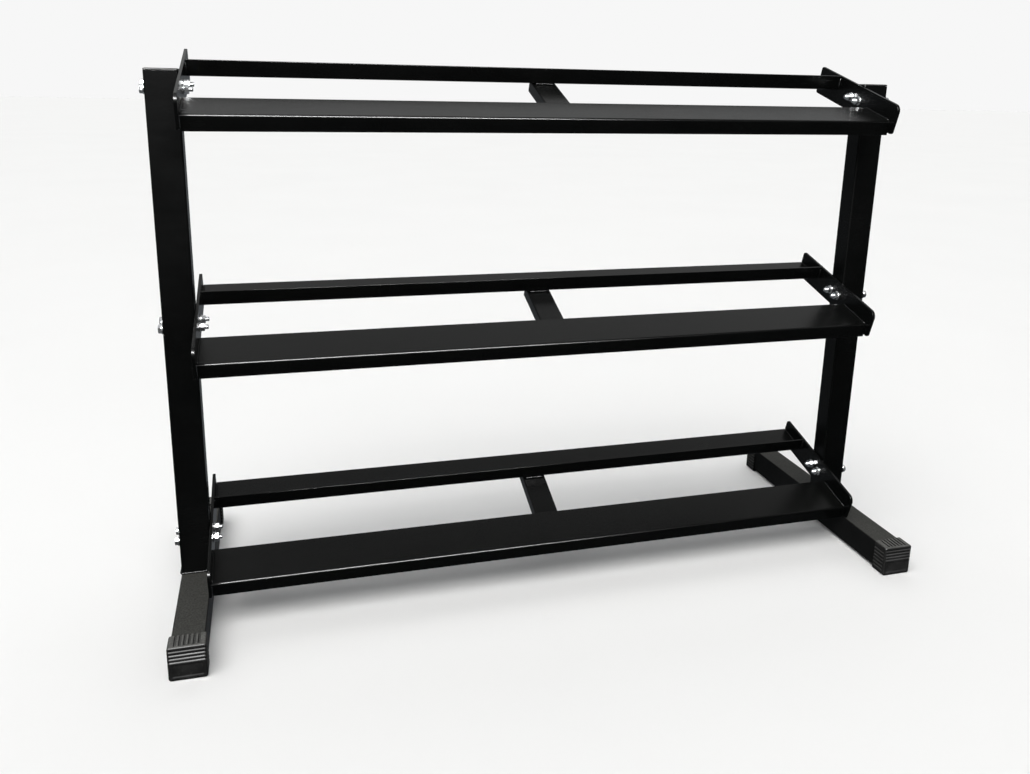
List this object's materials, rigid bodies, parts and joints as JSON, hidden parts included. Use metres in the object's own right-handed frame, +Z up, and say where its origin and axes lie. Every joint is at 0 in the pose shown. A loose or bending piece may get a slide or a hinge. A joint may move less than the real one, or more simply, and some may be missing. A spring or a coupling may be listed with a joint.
{
  "type": "dumbbell rack",
  "caption": "Free-standing three-tier dumbbell rack: tilted pairs of bent steel angle rails bolted between two upright side frames with rubber-capped foot tubes.",
  "frame": {"origin": "on the floor, midway between the two side frames and midway between the front and rear foot caps", "axes": "+X along the rails to the right of a person facing the rack, -Y to that person (the low edge of the tiers), +Z up"},
  "size_m": [1.3352, 0.508, 0.9398],
  "materials": {
    "coated_steel": "black semi-gloss powder coat on welded sheet and tube",
    "black_rubber": "matt moulded rubber, ribbed",
    "black_plastic": "matt moulded plastic",
    "zinc_steel": "bright zinc plate"
  },
  "bodies": {
    "root": {"foot_tube_left": "coated_steel", "upright_left": "coated_steel", "upright_plug_left": "black_plastic", "foot_cap_front_left": "black_rubber", "foot_cap_rear_left": "black_rubber", "foot_tube_right": "coated_steel", "upright_right": "coated_steel", "upright_plug_right": "black_plastic", "foot_cap_front_right": "black_rubber", "foot_cap_rear_right": "black_rubber", "front_rail_bottom": "coated_steel", "rear_rail_bottom": "coated_steel", "centre_brace_bottom": "coated_steel", "end_plate_bottom_left": "coated_steel", "bolt_bottom_left_front": "zinc_steel", "nut_bottom_left_front": "zinc_steel", "bolt_bottom_left_rear": "zinc_steel", "nut_bottom_left_rear": "zinc_steel", "end_plate_bottom_right": "coated_steel", "bolt_bottom_right_front": "zinc_steel", "nut_bottom_right_front": "zinc_steel", "bolt_bottom_right_rear": "zinc_steel", "nut_bottom_right_rear": "zinc_steel", "front_rail_middle": "coated_steel", "rear_rail_middle": "coated_steel", "centre_brace_middle": "coated_steel", "end_plate_middle_left": "coated_steel", "bolt_middle_left_front": "zinc_steel", "nut_middle_left_front": "zinc_steel", "bolt_middle_left_rear": "zinc_steel", "nut_middle_left_rear": "zinc_steel", "end_plate_middle_right": "coated_steel", "bolt_middle_right_front": "zinc_steel", "nut_middle_right_front": "zinc_steel", "bolt_middle_right_rear": "zinc_steel", "nut_middle_right_rear": "zinc_steel", "front_rail_top": "coated_steel", "rear_rail_top": "coated_steel", "centre_brace_top": "coated_steel", "end_plate_top_left": "coated_steel", "bolt_top_left_front": "zinc_steel", "nut_top_left_front": "zinc_steel", "bolt_top_left_rear": "zinc_steel", "nut_top_left_rear": "zinc_steel", "end_plate_top_right": "coated_steel", "bolt_top_right_front": "zinc_steel", "nut_top_right_front": "zinc_steel", "bolt_top_right_rear": "zinc_steel", "nut_top_right_rear": "zinc_steel"}
  },
  "joints": []
}
